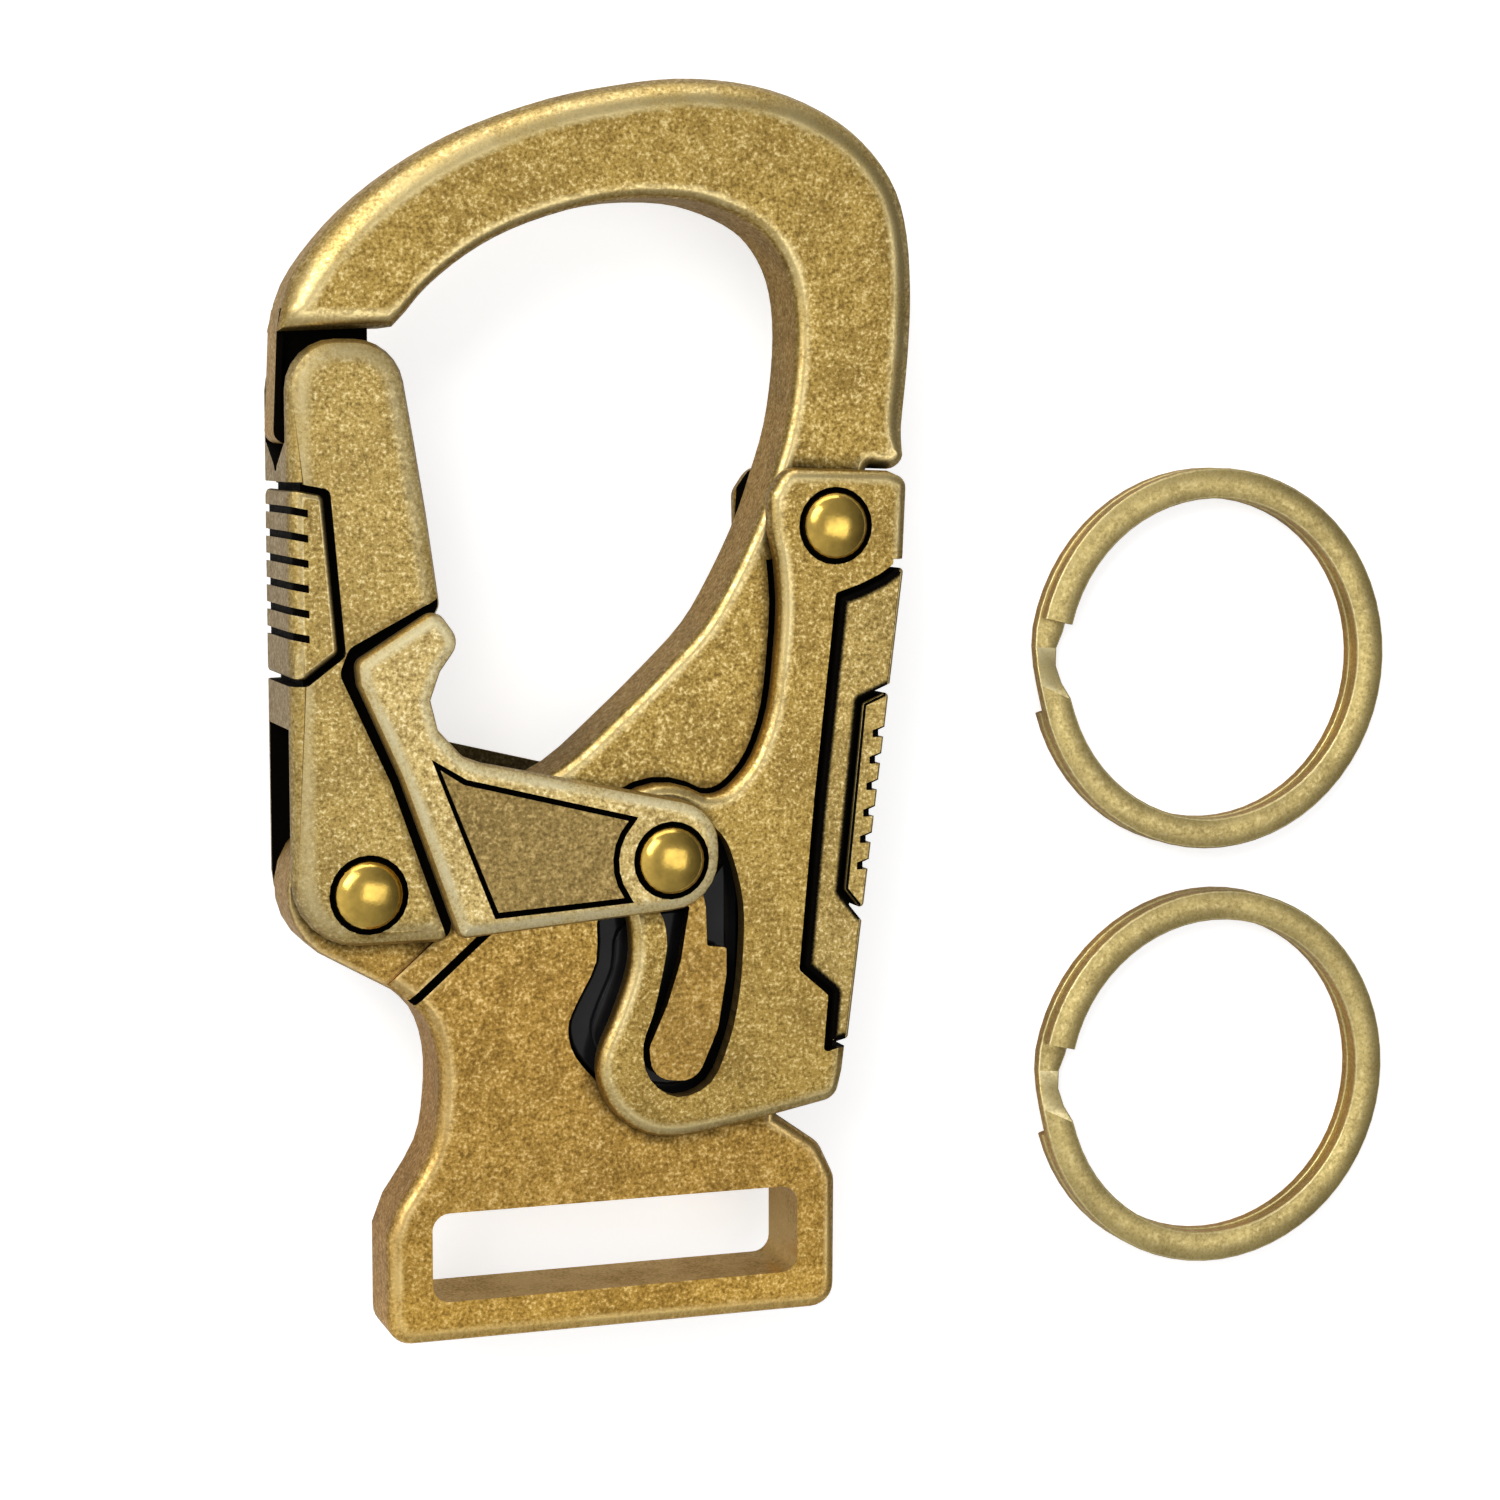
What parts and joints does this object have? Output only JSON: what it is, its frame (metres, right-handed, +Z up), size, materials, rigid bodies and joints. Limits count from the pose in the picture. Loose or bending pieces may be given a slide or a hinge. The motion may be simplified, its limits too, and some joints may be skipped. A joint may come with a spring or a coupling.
{
  "type": "carabiner keychain",
  "caption": "Flat snap hook with a sprung gate, a palm trigger that lifts a lock lever, a webbing slot and split key rings.",
  "frame": {"origin": "on the table under the middle of the whole layout of hook and rings", "axes": "+X across the hook from its gate towards the rings, +Y from the webbing slot up to the top of the loop, +Z up out of the front face"},
  "size_m": [0.088, 0.088, 0.0144],
  "materials": {
    "body_brass": "satin antique brass, worn pale on the rims",
    "gate_brass": "satin antique brass",
    "trigger_brass": "satin antique brass",
    "lever_brass": "satin antique brass",
    "dark_brass": "matt dark antique brass",
    "rivet_gold": "polished",
    "ring_brass": "satin",
    "spring_steel": "bright drawn wire",
    "black_insert": "gloss"
  },
  "bodies": {
    "hook": {"hook_body": "body_brass", "spring_housing": "black_insert", "gate_rivet": "rivet_gold", "trigger_rivet": "rivet_gold", "gate_spring": "spring_steel", "trigger_spring": "spring_steel", "key_ring_upper": "ring_brass", "key_ring_lower": "ring_brass"},
    "gate": {"gate_channel": "gate_brass", "gate_thumb_pad": "gate_brass"},
    "lever": {"lever_front": "lever_brass", "lever_back": "lever_brass", "lever_panel_front": "dark_brass", "lever_panel_back": "dark_brass", "lever_rivet": "rivet_gold", "lock_tail_front": "dark_brass", "lock_tail_back": "dark_brass"},
    "trigger": {"trigger_channel": "trigger_brass", "grip_strip": "gate_brass", "grip_pad": "gate_brass"}
  },
  "joints": [
    {"name": "gate_hinge", "type": "hinge", "parent": "hook", "child": "gate", "pos_m": [-0.03864, -0.01082, 0.0072], "axis": [0, 0, 1], "range_deg": [-20, 0], "stiffness_Nm_per_rad": 0.15, "springref_deg": 34.38, "deforming": ["gate_spring"]},
    {"name": "trigger_hinge", "type": "hinge", "parent": "hook", "child": "trigger", "pos_m": [-0.00546, 0.01349, 0.0072], "axis": [0, 0, 1], "range_deg": [-2.6, 0], "stiffness_Nm_per_rad": 0.6, "springref_deg": 8.59, "deforming": ["trigger_spring"]},
    {"name": "lever_hinge", "type": "hinge", "parent": "hook", "child": "lever", "pos_m": [-0.01795, -0.00919, 0.0072], "axis": [0, 0, 1], "range_deg": [-6.5, 0]}
  ],
  "couplings": [
    {"joint": "lever_hinge", "follows": "trigger_hinge", "ratio": 2.5}
  ]
}
